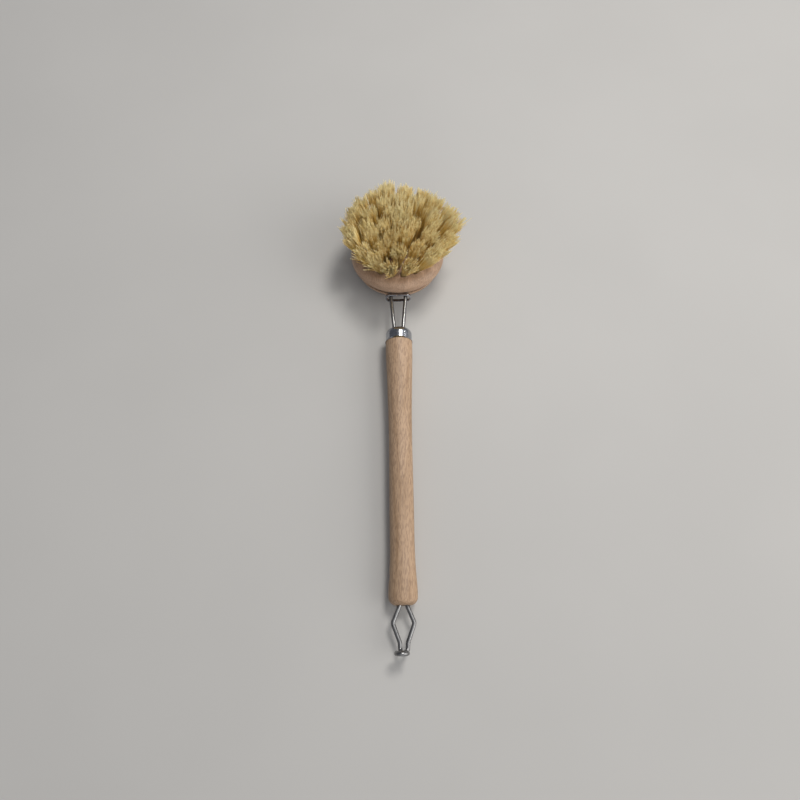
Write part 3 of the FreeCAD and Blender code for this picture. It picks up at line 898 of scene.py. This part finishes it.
class FinishHandle(bpy.types.Operator):
    """Give the turned handle its beech grain"""

    bl_idname = "dish_brush.finish_handle"
    bl_label = "Handle"

    def execute(self, context):
        wood = context.scene.brush_wood
        finish = beech("handle beech", wood.handle_light, wood.handle_dark, wood, *GRAINS["handle"])
        put_finish(["handle"], finish)
        return {"FINISHED"}


class FinishHead(bpy.types.Operator):
    """Give the turned head block its beech grain"""

    bl_idname = "dish_brush.finish_head"
    bl_label = "Head"

    def execute(self, context):
        wood = context.scene.brush_wood
        finish = beech("head beech", wood.head_light, wood.head_dark, wood, *GRAINS["head"])
        put_finish(["head_block"], finish)
        return {"FINISHED"}


class FinishPlating(bpy.types.Operator):
    """Give the ferrule and the locking ring their bright plating"""

    bl_idname = "dish_brush.finish_plating"
    bl_label = "Ferrule and Ring"

    def execute(self, context):
        metal = context.scene.brush_metal
        cap = plating("plated cap", metal.plate, metal.plate_roughness, "cap scratches")
        strip_roughness = metal.plate_roughness + STRIP_EXTRA_ROUGHNESS
        strip = plating("plated strip", metal.plate, strip_roughness, "strip scratches")
        put_finish(["ferrule"], cap)
        put_finish(["lock_ring"], strip)
        return {"FINISHED"}


class FinishWire(bpy.types.Operator):
    """Give the clamp arms, the hanging hook and the anchors their drawn finish"""

    bl_idname = "dish_brush.finish_wire"
    bl_label = "Wire and Anchors"

    def execute(self, context):
        metal = context.scene.brush_metal
        wire = drawn_wire("spring wire", metal.wire, metal.wire_roughness)
        flat = drawn_wire("anchor wire", metal.anchor, metal.wire_roughness + ANCHOR_EXTRA_ROUGHNESS)
        put_finish(["hanging_hook", "left_clamp_arm", "right_clamp_arm"], wire)
        put_finish([f"anchors_{ring}" for ring in TUFT_RINGS], flat)
        return {"FINISHED"}


class GrowBristles(bpy.types.Operator):
    """Grow the four rings of bristle tufts on the head"""

    bl_idname = "dish_brush.grow_bristles"
    bl_label = "Bristles"

    def execute(self, context):
        bristles = context.scene.brush_bristles
        finish = plant_fibre("plant fibre", bristles)
        tree = bristle_tree()
        for ring in TUFT_RINGS:
            grow_ring(ring, tree, bristles, finish)
        return {"FINISHED"}


class SetStage(bpy.types.Operator):
    """Lay the table, hang the lamps and set the camera"""

    bl_idname = "dish_brush.set_stage"
    bl_label = "Stage"

    def execute(self, context):
        stage = context.scene.brush_stage
        lay_table(stage)
        for (name, (place, size, _)), power in zip(LAMPS.items(), stage.lamp_power):
            hang_lamp(name, place, size, power, stage.lamp)
        light_room(stage)
        set_camera(stage)
        context.scene.view_settings.view_transform = "Standard"
        return {"FINISHED"}


# Add-on

GROUPS = {
    "brush_wood": BrushWood,
    "brush_metal": BrushMetal,
    "brush_bristles": BrushBristles,
    "brush_stage": BrushStage,
}
OPERATORS = (FinishHandle, FinishHead, FinishPlating, FinishWire, GrowBristles, SetStage)


class DishBrushPanel(bpy.types.Panel):
    """Settings and steps of the dish brush"""

    bl_idname = "VIEW3D_PT_dish_brush"
    bl_label = "Dish Brush"
    bl_space_type = "VIEW_3D"
    bl_region_type = "UI"
    bl_category = "Dish Brush"

    def draw(self, context):
        for name, group in GROUPS.items():
            box = self.layout.box()
            box.label(text=group.__doc__)
            settings = getattr(context.scene, name)
            for key in group.__annotations__:
                box.prop(settings, key)
        for operator in OPERATORS:
            self.layout.operator(operator.bl_idname)


def register():
    for cls in (*GROUPS.values(), *OPERATORS, DishBrushPanel):
        bpy.utils.register_class(cls)
    for name, group in GROUPS.items():
        setattr(bpy.types.Scene, name, PointerProperty(type=group))


def unregister():
    for name in GROUPS:
        delattr(bpy.types.Scene, name)
    for cls in (DishBrushPanel, *reversed(OPERATORS), *reversed(tuple(GROUPS.values()))):
        bpy.utils.unregister_class(cls)


def main():
    """Register the add-on and run its steps in order."""
    register()
    bpy.ops.dish_brush.set_stage()
    bpy.ops.dish_brush.finish_handle()
    bpy.ops.dish_brush.finish_head()
    bpy.ops.dish_brush.finish_plating()
    bpy.ops.dish_brush.finish_wire()
    bpy.ops.dish_brush.grow_bristles()


if __name__ == "__main__":
    main()
